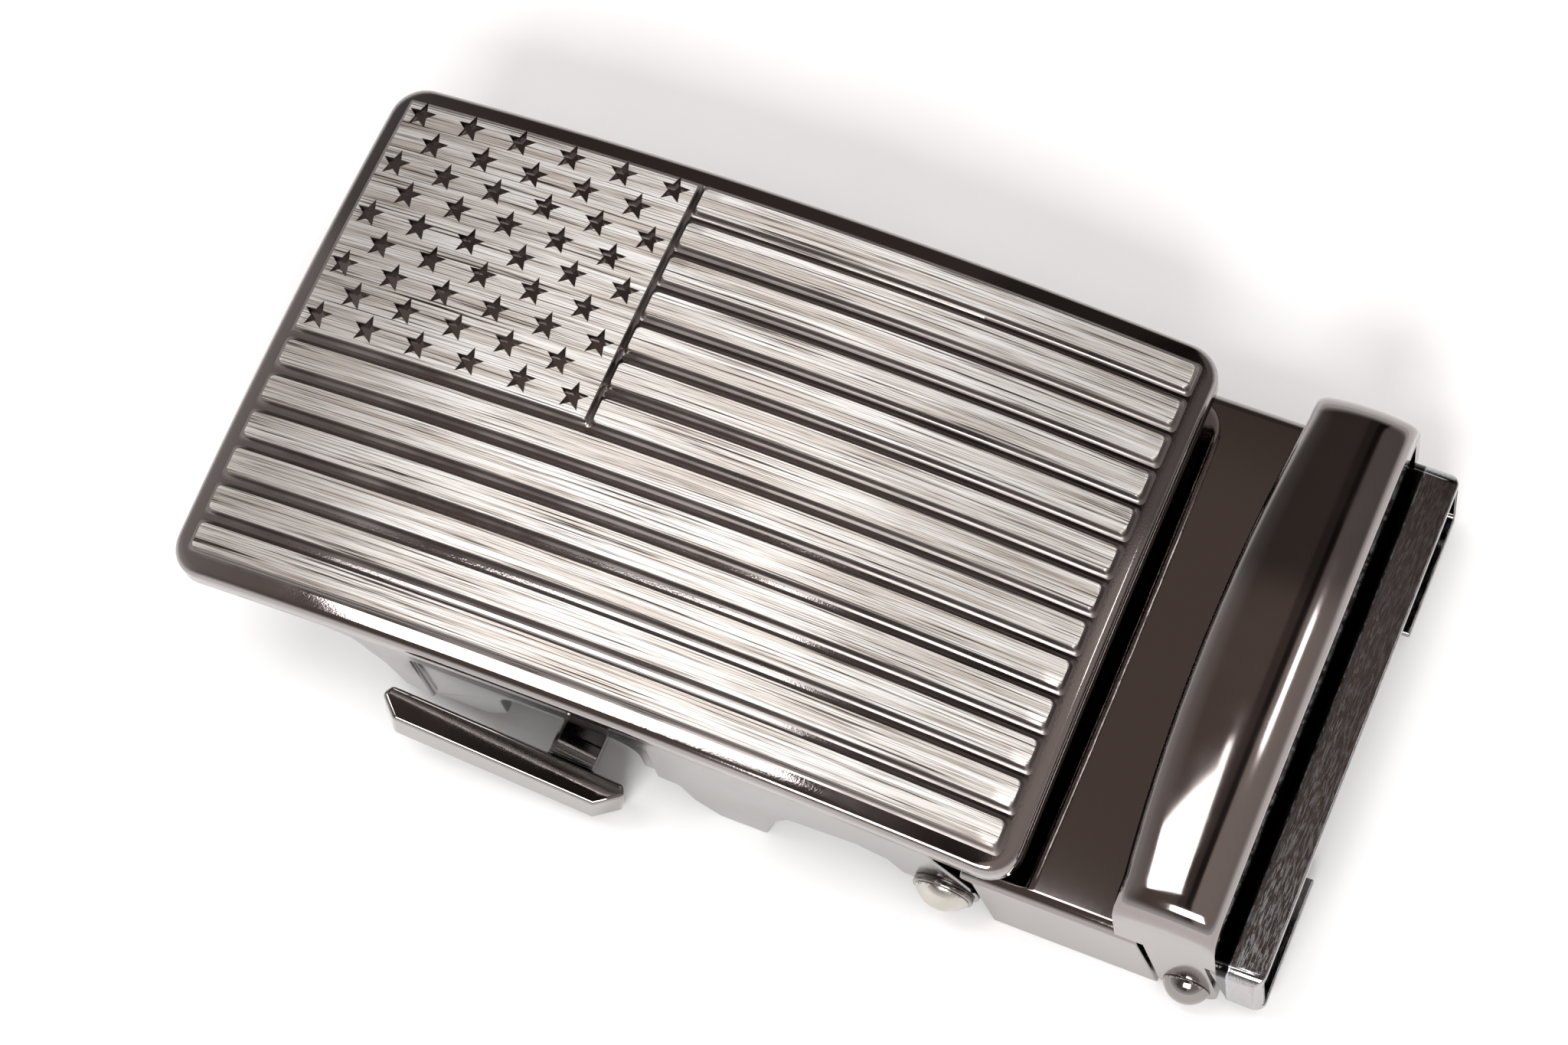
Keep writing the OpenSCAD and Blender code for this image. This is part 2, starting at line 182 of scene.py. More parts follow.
def noise(nodes, links, scale, detail=3.0, roughness=0.5):
    """Noise in the piece's own coordinates, stretched by a scale for each axis, in cycles per metre."""
    where = nodes.new("ShaderNodeTexCoord")
    stretch = nodes.new("ShaderNodeMapping")
    stretch.inputs["Scale"].default_value = scale
    texture = nodes.new("ShaderNodeTexNoise")
    texture.inputs["Scale"].default_value = 1.0
    texture.inputs["Detail"].default_value = detail
    texture.inputs["Roughness"].default_value = roughness
    links.new(where.outputs["Object"], stretch.inputs["Vector"])
    links.new(stretch.outputs["Vector"], texture.inputs["Vector"])
    return texture.outputs["Fac"]


def ramp(nodes, links, value, stops):
    """A colour ramp over a value; each stop is a position and a grey or a colour."""
    node = nodes.new("ShaderNodeValToRGB")
    elements = node.color_ramp.elements
    while len(elements) < len(stops):
        elements.new(0.5)
    for element, (position, color) in zip(elements, stops):
        color = color if isinstance(color, tuple) else (color,) * 3
        element.position = position
        element.color = (*color, 1)
    links.new(value, node.inputs["Fac"])
    return node.outputs["Color"]


def add_bump(nodes, links, shader, height, strength, distance):
    """Bumps the shader's normal by a height from 0 to 1, which stands for a distance in metres."""
    bump = nodes.new("ShaderNodeBump")
    bump.inputs["Strength"].default_value = strength
    bump.inputs["Distance"].default_value = distance
    links.new(height, bump.inputs["Height"])
    links.new(bump.outputs["Normal"], shader.inputs["Normal"])


def multiply(nodes, links, a, b):
    """The product of two colours."""
    node = nodes.new("ShaderNodeMix")
    node.data_type = "RGBA"
    node.blend_type = "MULTIPLY"
    node.inputs["Factor"].default_value = 1
    links.new(a, node.inputs["A"])
    links.new(b, node.inputs["B"])
    return node.outputs["Result"]


def brushed_nickel():
    """Bare relief tops, brushed along the strap: long fine scratches in bands, some of them dark."""
    nickel = (0.9, 0.87, 0.83)
    material, nodes, links, shader = new_material("brushed_nickel", nickel, 0.38, metallic=0.75)
    fine = noise(nodes, links, (90, 11000, 0), detail=4, roughness=0.7)
    lines = noise(nodes, links, (60, 6500, 0), detail=3, roughness=0.6)
    bands = noise(nodes, links, (50, 1300, 0), detail=2)
    fine_stops = [(0.4, (0.42, 0.37, 0.33)), (0.5, (0.97, 0.95, 0.93)), (0.6, 1.0)]
    line_stops = [(0.37, (0.08, 0.065, 0.055)), (0.44, (0.94, 0.92, 0.9)), (0.55, 1.0)]
    band_stops = [(0.35, (0.72, 0.68, 0.64)), (0.6, 1.0)]
    fine_color = ramp(nodes, links, fine, fine_stops)
    line_color = ramp(nodes, links, lines, line_stops)
    band_color = ramp(nodes, links, bands, band_stops)
    color = multiply(nodes, links, multiply(nodes, links, fine_color, line_color), band_color)
    links.new(color, shader.inputs["Base Color"])
    shader.inputs["Anisotropic"].default_value = 0.9
    tangent = nodes.new("ShaderNodeTangent")
    tangent.direction_type = "UV_MAP"
    tangent.uv_map = "UVMap"
    links.new(tangent.outputs["Tangent"], shader.inputs["Tangent"])
    add_bump(nodes, links, shader, lines, 0.3, GRAIN_DEPTH)
    return material


def black_chrome(name, color, roughness, grain=0.0):
    """Polished dark plating with smudges, and with fine grain or else the faint waves of polished metal."""
    material, nodes, links, shader = new_material(name, color, roughness)
    smudges = noise(nodes, links, (160, 160, 160), detail=4)
    stops = [(0.35, roughness), (0.75, roughness * 2.2 + 0.02)]
    links.new(ramp(nodes, links, smudges, stops), shader.inputs["Roughness"])
    if grain:
        height = noise(nodes, links, (7000, 7000, 7000), detail=2)
        add_bump(nodes, links, shader, height, grain, GRAIN_DEPTH)
    else:
        height = noise(nodes, links, (260, 260, 260), detail=1)
        add_bump(nodes, links, shader, height, 0.12, WAVE_DEPTH)
    return material


def worn_chrome_with_painted_shade(name, color, roughness, worn_x):
    """Polished dark plating with painted shade, a dark strip beside the keeper, and then a line that the
    strap has rubbed bare.
    """
    material, nodes, links, shader = new_material(name, color, roughness)
    where = nodes.new("ShaderNodeTexCoord")
    parts = nodes.new("ShaderNodeSeparateXYZ")
    links.new(where.outputs["Object"], parts.inputs["Vector"])
    before, after = 0.8 * MM, 1.2 * MM
    reach = nodes.new("ShaderNodeMapRange")
    reach.inputs["From Min"].default_value = worn_x - before
    reach.inputs["From Max"].default_value = worn_x + after
    links.new(parts.outputs["X"], reach.inputs["Value"])
    along_x = reach.outputs["Result"]
    # Painted shade: the base colour falls to near black in a strip between the keeper and the rubbed line
    painted_shade = ramp(nodes, links, along_x, [(0, color), (0.06, 0.03), (0.36, 0.03), (0.42, color)])
    rubbed = ramp(nodes, links, along_x, [(0.36, 0.0), (0.41, 1.0), (0.48, 0.5), (0.95, 0.35)])
    streaks = noise(nodes, links, (9000, 1100, 9000), detail=4, roughness=0.7)
    streaky = ramp(nodes, links, streaks, [(0.44, 0.0), (0.56, 1.0)])
    wear = multiply(nodes, links, streaky, rubbed)
    blend = nodes.new("ShaderNodeMix")
    blend.data_type = "RGBA"
    blend.inputs["B"].default_value = (0.62, 0.68, 0.74, 1)
    links.new(painted_shade, blend.inputs["A"])
    links.new(wear, blend.inputs["Factor"])
    links.new(blend.outputs["Result"], shader.inputs["Base Color"])
    links.new(ramp(nodes, links, wear, [(0, roughness), (1, 0.4)]), shader.inputs["Roughness"])
    scratches = noise(nodes, links, (3000, 400, 400), detail=4)
    add_bump(nodes, links, shader, scratches, 0.06, GRAIN_DEPTH)
    return material


def worked_steel(name, color, roughness):
    """Stamped or turned steel with a directional grain and cloudy plating."""
    material, nodes, links, shader = new_material(name, color, roughness)
    clouds = noise(nodes, links, (420, 420, 420), detail=5)
    dark = tuple(c * 0.72 for c in color)
    cloudy_color = ramp(nodes, links, clouds, [(0.3, dark), (0.65, color)])
    cloudy_roughness = ramp(nodes, links, clouds, [(0.3, roughness * 1.4), (0.7, roughness * 0.8)])
    links.new(cloudy_color, shader.inputs["Base Color"])
    links.new(cloudy_roughness, shader.inputs["Roughness"])
    grain = noise(nodes, links, (6000, 500, 6000), detail=3)
    add_bump(nodes, links, shader, grain, 0.25, GRAIN_DEPTH)
    return material


def paper_floor():
    """Matte white table, faintly mottled."""
    material, nodes, links, shader = new_material("floor_paper", (0.9, 0.9, 0.9), 0.8, metallic=0.0)
    mottle = noise(nodes, links, (60, 60, 60), detail=6)
    links.new(ramp(nodes, links, mottle, [(0.3, 0.88), (0.7, 0.92)]), shader.inputs["Base Color"])
    return material


NICKEL = brushed_nickel()
FACE_CHROME = black_chrome("face_chrome", (0.34, 0.31, 0.3), 0.05, grain=0.12)
# The relief's flanks, groove feet and star wells: the field's plating, rougher, and darker as painted shade
# in these recesses
RELIEF_SHADED_CHROME = black_chrome("relief_shaded_chrome", (0.24, 0.215, 0.205), 0.24)
FRAME_CHROME = black_chrome("frame_chrome", (0.34, 0.33, 0.325), 0.12)
CLIP_CHROME = worn_chrome_with_painted_shade("clip_chrome", (0.3, 0.275, 0.265), 0.035, CENTRE.x + WORN_X * MM)
KEEPER_CHROME = black_chrome("keeper_chrome", (0.32, 0.29, 0.28), 0.055)
LEVER_CHROME = black_chrome("lever_chrome", (0.3, 0.28, 0.27), 0.04, grain=0.04)
RIVET_CHROME = black_chrome("rivet_chrome", (0.3, 0.28, 0.27), 0.05)
RIVET_NICKEL = worked_steel("rivet_nickel", (0.6, 0.57, 0.52), 0.2)
DARK_STEEL = worked_steel("dark_steel", (0.3, 0.29, 0.28), 0.25)
BRIGHT_STEEL = worked_steel("bright_steel", (0.55, 0.54, 0.53), 0.22)


# ---- mesh helpers ----

def finish_piece(name, mesh, material, body, slot, *replaced):
    """Puts a finished mesh in the scene as a piece that rides on a body, or on none."""
    mesh.name = name
    mesh.materials.clear()
    mesh.materials.append(material)
    piece = bpy.data.objects.new(name, mesh)
    bpy.context.scene.collection.objects.link(piece)
    if body:
        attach(piece, body)
    if replaced:
        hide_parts(*replaced)
    return piece


def rounded_mesh(bm, width, segments=3, sharp=SHARP_ANGLE, clamp=False):
    """Turns a bmesh into a mesh whose sharp edges are rounded by a bevel of this width, in millimetres."""
    mesh = bpy.data.meshes.new("work")
    for face in bm.faces:
        face.smooth = True
    bm.to_mesh(mesh)
    bm.free()
    work = bpy.data.objects.new("work", mesh)
    bpy.context.scene.collection.objects.link(work)
    bevel = work.modifiers.new("round", "BEVEL")
    bevel.width = width * MM
    bevel.segments = segments
    bevel.limit_method = "ANGLE"
    bevel.angle_limit = math.radians(sharp)
    bevel.use_clamp_overlap = clamp
    bevel.miter_outer = "MITER_ARC"
    shading = work.modifiers.new("flat_faces_stay_flat", "WEIGHTED_NORMAL")
    shading.weight = 100
    evaluated = work.evaluated_get(bpy.context.evaluated_depsgraph_get())
    result = bpy.data.meshes.new_from_object(evaluated)
    bpy.data.objects.remove(work)
    bpy.data.meshes.remove(mesh)
    return result


def bridge(bm, a, b):
    """Quads between two rings of the same length."""
    count = len(a)
    for k in range(count):
        bm.faces.new([a[k], a[(k + 1) % count], b[(k + 1) % count], b[k]])


def cap(bm, ring, centre, flip):
    """Closes a ring with a fan, the other way round if asked."""
    middle = bm.verts.new(centre)
    for a, b in zip(ring, ring[1:] + ring[:1]):
        bm.faces.new([b, a, middle] if flip else [a, b, middle])


def refined(node, body, material, width, segments=3):
    """A copy of a CAD node with whole flat faces and rounded sharp edges, which stands for the node."""
    bm = bmesh.new()
    bm.from_mesh(frame["nodes"][node].data)
    bmesh.ops.remove_doubles(bm, verts=bm.verts, dist=WELD * MM)
    bmesh.ops.dissolve_limit(bm, angle_limit=math.radians(FLAT_ANGLE), verts=bm.verts, edges=bm.edges)
    mesh = rounded_mesh(bm, width, segments)
    return finish_piece(node + "_detail", mesh, material, body, SLOTS[node], node)


def add_uv(mesh):
    """A UV map whose U runs across the strap and the brushing, the way the highlights spread."""
    per_metre = 10
    layer = mesh.uv_layers.new(name="UVMap")
    for loop in mesh.loops:
        co = mesh.vertices[loop.vertex_index].co
        layer.data[loop.index].uv = (co.y * per_metre, co.x * per_metre)


def rounded_rect(x0, x1, y0, y1, r, step, corner_steps):
    """Points round a rectangle with round corners, no further apart than step along its sides."""
    corners = [(x1 - r, y0 + r, -90), (x1 - r, y1 - r, 0), (x0 + r, y1 - r, 90), (x0 + r, y0 + r, 180)]
    points = []
    for cx, cy, start in corners:
        for k in range(corner_steps + 1):
            a = math.radians(start + 90 * k / corner_steps)
            points.append(Vector((cx + r * math.cos(a), cy + r * math.sin(a))))
    dense = []
    for a, b in zip(points, points[1:] + points[:1]):
        count = max(1, math.ceil((b - a).length / step))
        dense += [a.lerp(b, k / count) for k in range(count)]
    return dense


def star_outline(cx, cy, scale):
    """The ten corners of a star with one point towards +Y."""
    radii = [STAR_R * scale, STAR_INNER_R * scale] * 5
    turns = [math.radians(-36 * k) for k in range(10)]
    return [Vector((cx + r * math.sin(a), cy + r * math.cos(a))) for r, a in zip(radii, turns)]


def star_centres():
    """Nine rows of six and five stars by turns."""
    for row in range(STAR_ROWS):
        for col in range(STAR_COLUMNS):
            if (row + col) % 2 == 0:
                x = -RELIEF_LEN / 2 + STAR_LEFT + col * STAR_STEP_X
                y = RELIEF_W / 2 - STAR_TOP - row * STAR_STEP_Y
                yield x, y


def inside(point, outline):
    """Whether a point lies inside an outline, by the even-odd rule."""
    crossings = 0
    for a, b in zip(outline, outline[1:] + outline[:1]):
        if (a.y > point.y) != (b.y > point.y):
            crossings += point.x < a.x + (b.x - a.x) * (point.y - a.y) / (b.y - a.y)
    return crossings % 2 == 1


def grid_points(outline, step, stars):
    """Points of a grid within a rectangle's outline, about step apart and clear of the stars."""
    x0, x1 = min(p.x for p in outline), max(p.x for p in outline)
    y0, y1 = min(p.y for p in outline), max(p.y for p in outline)
    columns = max(2, round((x1 - x0) / step))
    rows = max(2, round((y1 - y0) / step))
    for i in range(1, columns):
        for j in range(1, rows):
            p = Vector((x0 + (x1 - x0) * i / columns, y0 + (y1 - y0) * j / rows))
            if all((p - star).length > STAR_R + STAR_CLEARANCE for star in stars):
                yield p


def relief_top(bm, rim, holes, step):
    """A domed sheet within the rim and round the holes, and its vertices along each of these outlines."""
    points, edges = [], []
    for outline in [rim, *holes]:
        first, count = len(points), len(outline)
        points += outline
        edges += [(first + k, first + (k + 1) % count) for k in range(count)]
    middles = [sum(hole, Vector((0, 0))) / len(hole) for hole in holes]
    points += grid_points(rim, step, middles)
    found, _, faces, source, *_ = delaunay_2d_cdt(points, edges, [], 1, 1e-6)
    top = [bm.verts.new(at(p.x, p.y, dome_z(p.x, p.y, CROWN_Z))) for p in found]
    for face in faces:
        middle = sum((found[k] for k in face), Vector((0, 0))) / len(face)
        if not any(inside(middle, hole) for hole in holes):
            bm.faces.new([top[k] for k in face])
    vertex_of = {}
    for vertex, originals in zip(top, source):
        for original in originals:
            vertex_of[original] = vertex
    loops, first = [], 0
    for outline in [rim, *holes]:
        loops.append([vertex_of[first + k] for k in range(len(outline))])
        first += len(outline)
    return loops


def relief_block(bm, rim, holes=(), step=1.5):
    """A closed block of the relief, with a domed top and a foot sunk into the plate. The rim and each hole
    is a list of loops with their depths below the top, from the top down."""
    walls = [rim, *holes]
    outline, *hole_outlines = [wall[0][0] for wall in walls]
    for wall, above in zip(walls, relief_top(bm, outline, hole_outlines, step)):
        is_rim = wall is rim
        for loop, depth in wall[1:]:
            below = [bm.verts.new(at(p.x, p.y, dome_z(p.x, p.y, CROWN_Z - depth))) for p in loop]
            if is_rim:
                bridge(bm, below, above)
            else:
                bridge(bm, above, below)
            above = below
        bm.faces.new(list(reversed(above)) if is_rim else above)
    for v in [v for v in bm.verts if not v.link_faces]:
        bm.verts.remove(v)


def inset(point, x0, x1, y0, y1, by):
    """A point of a rectangle's outline, moved in with the rectangle's sides."""
    cx, cy = (x0 + x1) / 2, (y0 + y1) / 2
    sx, sy = 1 - 2 * by / (x1 - x0), 1 - 2 * by / (y1 - y0)
    return Vector((cx + (point.x - cx) * sx, cy + (point.y - cy) * sy))


def flared(x0, x1, y0, y1, r, step, corner_steps):
    """Loops round a rectangular block, from its chamfered top down its flank, which flares at the foot."""
    outline = rounded_rect(x0, x1, y0, y1, r, step, corner_steps)
    return [([inset(p, x0, x1, y0, y1, by) for p in outline], depth) for by, depth in FLANK]


def well(x, y):
    """Loops down the side of a star-shaped well."""
    star = star_outline(x, y, 1)
    return [(star_outline(x, y, 1 + STAR_CHAMFER), 0), (star, CHAMFER), (star, RELIEF_FOOT)]


def relief_piece(name, bm):
    """Makes a relief mesh into a piece with brushed tops and plated sides, whose plating is darkened as
    painted shade.
    """
    mesh = bpy.data.meshes.new("work")
    bm.normal_update()
    brushed = [face.normal.z > LEVEL_NORMAL_Z for face in bm.faces]
    bm.to_mesh(mesh)
    bm.free()
    for polygon in mesh.polygons:
        polygon.use_smooth = True
    mesh.set_sharp_from_angle(angle=math.radians(SHARP_ANGLE))
    add_uv(mesh)
    piece = finish_piece(name, mesh, NICKEL, "frame", "face_gunmetal")
    mesh.materials.append(RELIEF_SHADED_CHROME)
    for polygon, is_brushed in zip(mesh.polygons, brushed):
        polygon.material_index = 0 if is_brushed else 1
    return piece


# ---- face plate ----

def shell_rings():
    """Inset, and depth below the dome, of the rings that make the plate's section from foot to field."""
    rings = [(BACK_INSET, SHELL_T), (FOOT_CHAMFER, SHELL_T), (FOOT_MIDDLE, SHELL_T - FOOT_MIDDLE),
             (0, SHELL_T - FOOT_CHAMFER)]
    steps = 6
    for k in range(steps + 1):
        a = math.radians(90 * k / steps)
        rings.append((FACE_EDGE_R * (1 - math.cos(a)), FACE_EDGE_R * (1 - math.sin(a))))
    return rings


def face_ring(bm, half_x, half_y, crown, depth):
    """A ring of the plate's outline, drawn in to half sizes along X and Y, at a depth below the dome."""
    hx, hy = FACE_LEN / 2, FACE_W / 2
    ring = []
    for p in rounded_rect(-hx, hx, -hy, hy, FACE_CORNER_R, step=1.0, corner_steps=8):
        x = p.x * half_x / hx
        y = p.y * half_y / hy
        ring.append(bm.verts.new(at(x, y, dome_z(x, y, crown) - depth)))
    return ring


def face_shell():
    """The plate under the relief: domed field, rounded edge, and a slightly hollow back."""
    bm = bmesh.new()
    crown = CROWN_Z - RELIEF_H
    hx, hy = FACE_LEN / 2, FACE_W / 2
    front = [face_ring(bm, hx - by, hy - by, crown, depth) for by, depth in shell_rings()]
    back = [front[0]]
    field_rings, back_rings = 24, 8
    for k in range(1, field_rings):
        share = 1 - k / field_rings
        front.append(face_ring(bm, (hx - FACE_EDGE_R) * share, (hy - FACE_EDGE_R) * share, crown, 0))
    for k in range(1, back_rings):
        share = 1 - k / back_rings
        back.append(face_ring(bm, (hx - BACK_INSET) * share, (hy - BACK_INSET) * share, crown, SHELL_T))
    for a, b in zip(front, front[1:]):
        bridge(bm, a, b)
    for a, b in zip(back, back[1:]):
        bridge(bm, b, a)
    cap(bm, front[-1], at(0, 0, crown), False)
    cap(bm, back[-1], at(0, 0, crown - SHELL_T), True)
    bmesh.ops.recalc_face_normals(bm, faces=bm.faces)
    mesh = bpy.data.meshes.new("work")
    bm.to_mesh(mesh)
    bm.free()
    for polygon in mesh.polygons:
        polygon.use_smooth = True
    return finish_piece("face_shell", mesh, FACE_CHROME, "frame", "face_gunmetal", "face_plate")


def stripes():
    """Thirteen raised stripes; the first seven start beside the star field."""
    bm = bmesh.new()
    gap = STRIPE_PITCH - STRIPE_W
    for i in range(STRIPE_COUNT):
        x0 = -RELIEF_LEN / 2 + (CANTON_LEN + gap / 2 if i < CANTON_STRIPES else 0)
        x1 = RELIEF_LEN / 2
        y1 = RELIEF_W / 2 - i * STRIPE_PITCH
        y0 = y1 - STRIPE_W
        relief_block(bm, flared(x0, x1, y0, y1, STRIPE_CORNER_R, step=1.2, corner_steps=5))
    return relief_piece("face_stripes", bm)


def canton():
    """The star field: one block with a star-shaped well for each star."""
    bm = bmesh.new()
    x0, y1 = -RELIEF_LEN / 2, RELIEF_W / 2
    x1, y0 = x0 + CANTON_LEN, y1 - CANTON_W
    rim = flared(x0, x1, y0, y1, CANTON_CORNER_R, step=1.0, corner_steps=2)
    relief_block(bm, rim, [well(x, y) for x, y in star_centres()], step=1.02)
    return relief_piece("face_canton", bm)


# ---- keeper bar ----

def keeper_top(x, y, left=KEEPER_X0):
    """Height of the keeper bar's front: arched along the bar, falling to both edges, which are rounded."""
    if x < KEEPER_RIDGE_X:
        share = (KEEPER_RIDGE_X - x) / (KEEPER_RIDGE_X - left)
        fall = KEEPER_FALL_LEFT * share**KEEPER_FALL_LEFT_POWER
    else:
        share = (x - KEEPER_RIDGE_X) / (KEEPER_X1 - KEEPER_RIDGE_X)
        fall = KEEPER_FALL_RIGHT * share**KEEPER_FALL_RIGHT_POWER
    from_edge = min(x - left, KEEPER_X1 - x, KEEPER_EDGE_R)
    fall += KEEPER_EDGE_R - math.sqrt(max(0, KEEPER_EDGE_R**2 - (KEEPER_EDGE_R - from_edge) ** 2))
    return KEEPER_CROWN - KEEPER_ARCH * (abs(y) / HALF_W) ** KEEPER_ARCH_POWER - fall


def bar_station(y, left):
    """A station of the bar: its edges, its front's y and z as a function of x, and its back's y and z."""
    return left, KEEPER_X1, lambda x: (y, keeper_top(x, y, left)), (y, KEEPER_GAP_TOP)


def shoulder_station(angle):
    """A station where the bar bends down into a leg, at an angle in degrees round the bend."""
    y_arc = HALF_W - KEEPER_SHOULDER_R
    out = KEEPER_SHOULDER_R * math.sin(math.radians(angle))
    down = KEEPER_SHOULDER_R * (1 - math.cos(math.radians(angle)))
    inner = (min(y_arc + out, LEG_IN_Y), KEEPER_GAP_TOP)
    return KEEPER_X0, KEEPER_X1, lambda x: (y_arc + out, keeper_top(x, y_arc) - down), inner


def leg_station(z, left, right):
    """A station of a leg, which is flat on both sides."""
    return left, right, lambda x: (HALF_W, z), (LEG_IN_Y, z)


def keeper_stations():
    """Stations across half of the bar, from its middle down to the round end of a leg at the hinge."""
    bar_steps, shoulder_steps, end_steps = 12, 8, 8
    y_arc = HALF_W - KEEPER_SHOULDER_R
    stations = []
    for k in range(bar_steps + 1):
        y = y_arc * k / bar_steps
        stations.append(bar_station(y, KEEPER_X0 - KEEPER_BULGE * (1 - (y / y_arc) ** 2)))
    stations += [shoulder_station(90 * k / shoulder_steps) for k in range(1, shoulder_steps + 1)]
    stations += [leg_station(z, KEEPER_X0, KEEPER_X1) for z in KEEPER_LEG_HEIGHTS]
    stations.append(leg_station(SHEET_TOP, KEEPER_LEG_X0, KEEPER_LEG_X1))
    tapered = KEEPER_LEG_X0 + (SHEET_TOP - JAW_Z) * KEEPER_LEG_SLOPE
    for k in range(end_steps + 1):
        a = math.radians(180 + 90 * k / end_steps)
        left = max(JAW_X + LEG_END_R * math.cos(a), tapered)
        stations.append(leg_station(JAW_Z + LEG_END_R * math.sin(a), left, JAW_X - LEG_END_R * math.cos(a)))
    return stations


def keeper():
    """The bar that the strap's free end passes under, with its two legs, as one swept shell."""
    columns = 26
    bm = bmesh.new()
    half = keeper_stations()
    whole = [(-1, station) for station in reversed(half)] + [(1, station) for station in half[1:]]
    rings = []
    for side, (left, right, outer, inner) in whole:
        ring = []
        for k in range(columns + 1):
            x = left + (right - left) * (1 - math.cos(math.pi * k / columns)) / 2
            y, z = outer(x)
            ring.append(bm.verts.new(at(x, side * y, z)))
        for x in (right, left):
            ring.append(bm.verts.new(at(x, side * inner[0], inner[1])))
        rings.append(ring)
    for a, b in zip(rings, rings[1:]):
        bridge(bm, a, b)
    for ring in (rings[0], rings[-1]):
        bm.faces.new(ring)
    bmesh.ops.remove_doubles(bm, verts=bm.verts, dist=KEEPER_WELD * MM)
    bmesh.ops.dissolve_degenerate(bm, edges=bm.edges, dist=KEEPER_WELD * MM)
    bmesh.ops.recalc_face_normals(bm, faces=bm.faces)
    mesh = rounded_mesh(bm, KEEPER_BEVEL, 2, sharp=50, clamp=True)
    return finish_piece("keeper_shell", mesh, KEEPER_CHROME, "clip", "keeper_black", "keeper_bar")


# ---- pawl spring ----

def spring():
    """One wire coiled round the pin, with a leg at each end; its turns wind up as the pawl swings."""
    sides, steps_per_turn = 8, 24
    steps = steps_per_turn * SPRING_TURNS
    sweep = FRAME_LEG_ANGLE + 360 * SPRING_TURNS - PAWL_LEG_ANGLE
    stations = [(0, -PAWL_LEG)] + [(k / steps, 0) for k in range(steps + 1)] + [(1, FRAME_LEG)]
    bm = bmesh.new()
    rings = []
    for share, along in stations:
        a = math.radians(PAWL_LEG_ANGLE + sweep * share)
        outward = Vector((math.sin(a), 0, -math.cos(a)))
        ahead = Vector((math.cos(a), 0, math.sin(a)))
        y = SPRING_END_Y * (2 * share - 1)
        centre = Vector((PIN_X, y, PIN_Z)) + outward * SPRING_R + ahead * along
        ring = []
        for k in range(sides):
            b = 2 * math.pi * k / sides
            away = outward * math.cos(b) + Vector((0, math.sin(b), 0))
            ring.append(bm.verts.new(at(*(centre + away * WIRE_R))))
        rings.append(ring)
    for a, b in zip(rings, rings[1:]):
        bridge(bm, a, b)
    for ring in (rings[0], rings[-1]):
        bm.faces.new(ring)
    bmesh.ops.recalc_face_normals(bm, faces=bm.faces)
    mesh = rounded_mesh(bm, WIRE_BEVEL, 1)
    piece = finish_piece("pawl_spring_wire", mesh, BRIGHT_STEEL, None, "spring_steel", "pawl_spring")
    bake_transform(piece)
    return piece


# ---- stage, light and camera ----

def floor():
    """A large pale table top."""
    bpy.ops.mesh.primitive_plane_add(size=6)
    plane = bpy.context.object
    plane.name = "floor"
    plane.data.materials.append(paper_floor())


def softbox(name, direction, distance, size, power, turn=0):
    """A rectangular light that faces the buckle from a direction, its width turned by degrees from +X."""
    light = bpy.data.lights.new(name, "AREA")
    light.shape = "RECTANGLE"
    light.size, light.size_y = size
    light.energy = power
    lamp = bpy.data.objects.new(name, light)
    bpy.context.scene.collection.objects.link(lamp)
    away = Vector(direction).normalized()
    width = Vector((math.cos(math.radians(turn)), math.sin(math.radians(turn)), 0))
    width = (width - away * width.dot(away)).normalized()
    axes = Matrix((width, away.cross(width), away)).transposed().to_4x4()
    aim = at(10, 0, CROWN_Z)
    lamp.matrix_world = Matrix.Translation(aim + away * distance) @ axes
    return lamp


def shifted(nodes, links, value):
    """A direction's coordinate, from -1 to 1, brought to 0 to 1."""
    node = nodes.new("ShaderNodeMapRange")
    node.inputs["From Min"].default_value = -1
    links.new(value, node.inputs["Value"])
    return node.outputs["Result"]


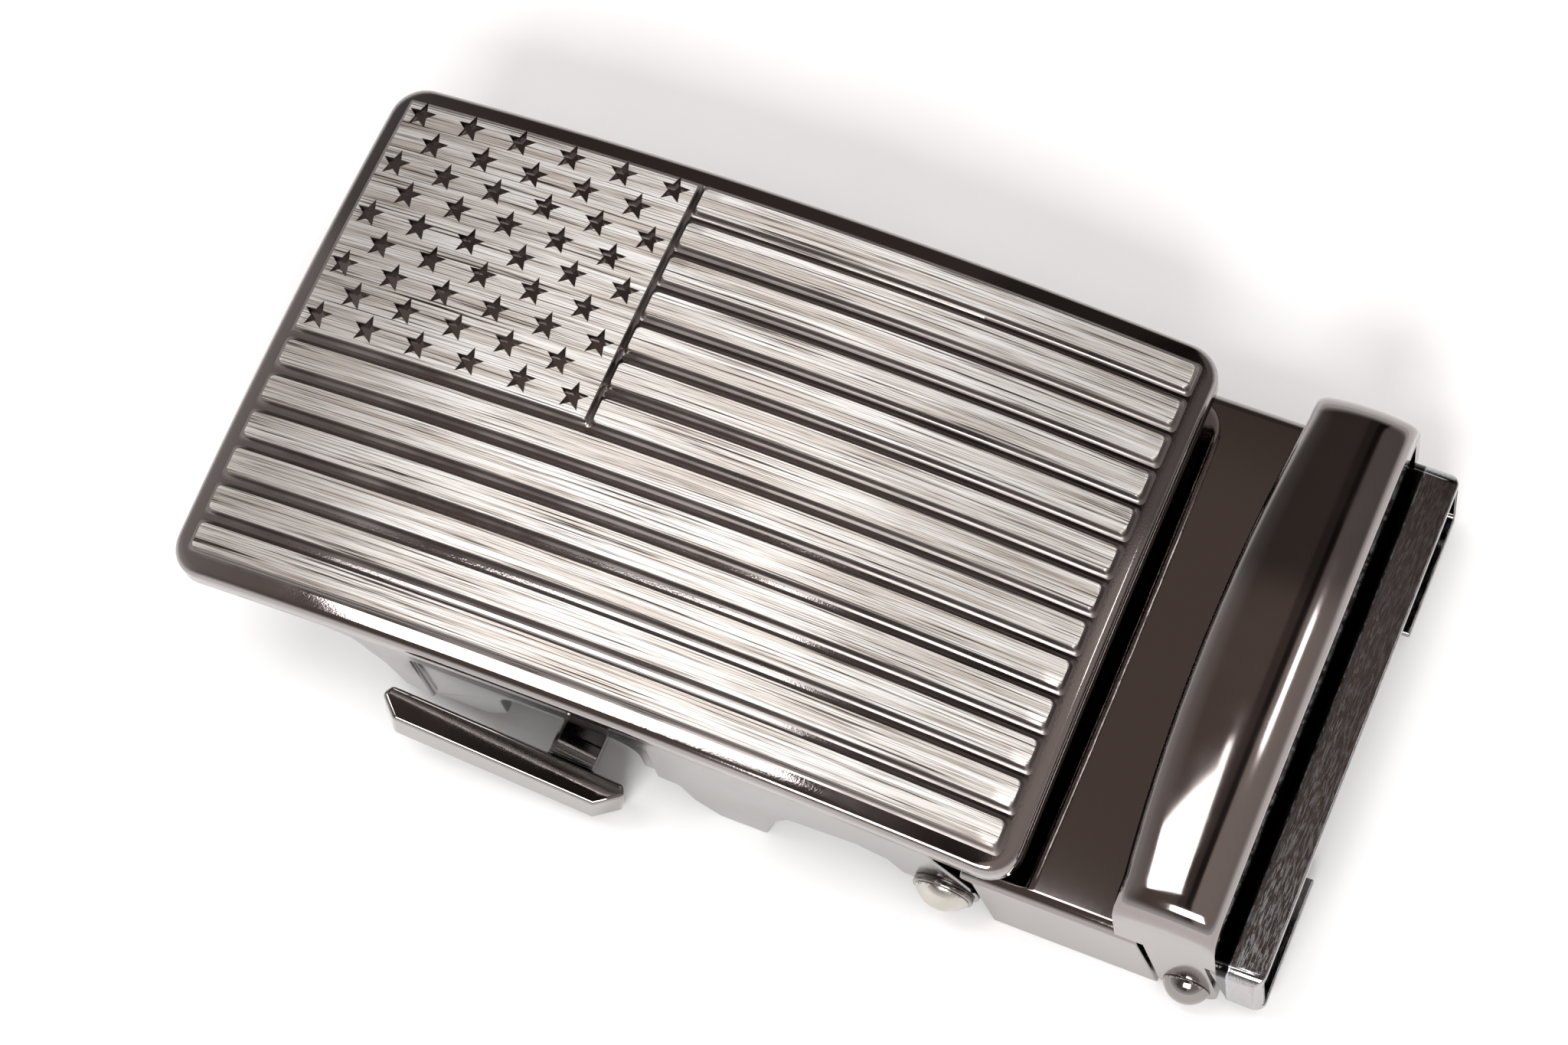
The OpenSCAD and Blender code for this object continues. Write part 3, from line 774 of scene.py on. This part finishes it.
def studio():
    """Pale horizon, grey ceiling with a dark beam, key and front lights, two small ones and a fill."""
    world = bpy.data.worlds.new("studio")
    bpy.context.scene.world = world
    world.use_nodes = True
    nodes, links = world.node_tree.nodes, world.node_tree.links
    where = nodes.new("ShaderNodeTexCoord")
    parts = nodes.new("ShaderNodeSeparateXYZ")
    links.new(where.outputs["Generated"], parts.inputs["Vector"])
    x, y, z = (parts.outputs[axis] for axis in "XYZ")
    pale, wall, ceiling = (1.0, 0.95, 0.92), (0.36, 0.28, 0.25), (0.2, 0.155, 0.14)
    beam, window = (0.06, 0.045, 0.04), (0.9, 0.78, 0.74)
    x_stops = [(0.1, pale), (0.25, wall), (0.452, wall), (0.458, ceiling), (0.52, ceiling),
               (0.535, beam), (0.58, beam), (0.6, window)]
    sky = ramp(nodes, links, z, [(0.0, 0.9), (0.1, 0.8), (0.3, 0.5), (0.6, 0.45), (1.0, 0.5)])
    across = ramp(nodes, links, shifted(nodes, links, x), x_stops)
    along = ramp(nodes, links, shifted(nodes, links, y), [(0.67, 1.0), (0.69, 0.45)])
    overhead = nodes.new("ShaderNodeMix")
    overhead.data_type = "RGBA"
    overhead.inputs["A"].default_value = (1, 1, 1, 1)
    links.new(multiply(nodes, links, across, along), overhead.inputs["B"])
    links.new(ramp(nodes, links, z, [(0.2, 0.0), (0.45, 1.0)]), overhead.inputs["Factor"])
    room = multiply(nodes, links, sky, overhead.outputs["Result"])
    links.new(room, nodes["Background"].inputs["Color"])
    softbox("key", direction=(-0.31, 0.01, 0.95), distance=1.5, size=(0.72, 0.38), power=5, turn=14)
    softbox("key_corner", direction=(-0.14, 0.2, 0.965), distance=1.5, size=(0.06, 0.05), power=0.06)
    softbox("front", direction=(0.15, -0.72, 0.68), distance=1.5, size=(0.8, 0.5), power=18)
    softbox("glint", direction=(0.36, 0.28, 0.89), distance=0.7, size=(0.05, 0.09), power=0.12)
    fill = softbox("fill", direction=(0.1, 0.1, 1), distance=0.9, size=(1.2, 1.2), power=5)
    fill.visible_glossy = False


def camera():
    """The viewpoint: above the near edge of the clip, with the buckle turned in the frame."""
    data = bpy.data.cameras.new("camera")
    data.sensor_width = 36
    data.lens = 86.62
    data.clip_start = 0.01
    lens = bpy.data.objects.new("camera", data)
    bpy.context.scene.collection.objects.link(lens)
    place = at(71.92, -76.83, 251.65)
    target = at(8.9, -3.16, 18)
    roll = math.radians(-18.62)
    look = (target - place).to_track_quat("-Z", "Y").to_matrix().to_4x4()
    lens.matrix_world = Matrix.Translation(place) @ look @ Matrix.Rotation(roll, 4, "Z")
    bpy.context.scene.camera = lens


bpy.context.scene.view_settings.view_transform = "Standard"
camera()
studio()
floor()
face_shell()
stripes()
canton()
refined("main_frame", "frame", FRAME_CHROME, width=0.18)
refined("base_plate", "clip", CLIP_CHROME, width=0.14)
keeper()
refined("release_lever", "pawl", LEVER_CHROME, width=0.3, segments=4)
refined("jaw_flap", "jaw", DARK_STEEL, width=0.08, segments=2)
refined("pawl", "pawl", DARK_STEEL, width=0.08, segments=2)
for side in ("near", "far"):
    refined("link_rivet_" + side, "frame", RIVET_NICKEL, width=0.08)
    refined("link_washer_" + side, "frame", RIVET_CHROME, width=0.1)
    refined("jaw_rivet_" + side, "clip", RIVET_CHROME, width=0.08)
spring()
plain_nodes = {"exit_bar": RIVET_CHROME, "entry_bar": RIVET_CHROME, "pawl_pin": BRIGHT_STEEL,
               "lever_screw": DARK_STEEL}
for name, look in plain_nodes.items():
    materials = frame["nodes"][name].data.materials
    materials.clear()
    materials.append(look)
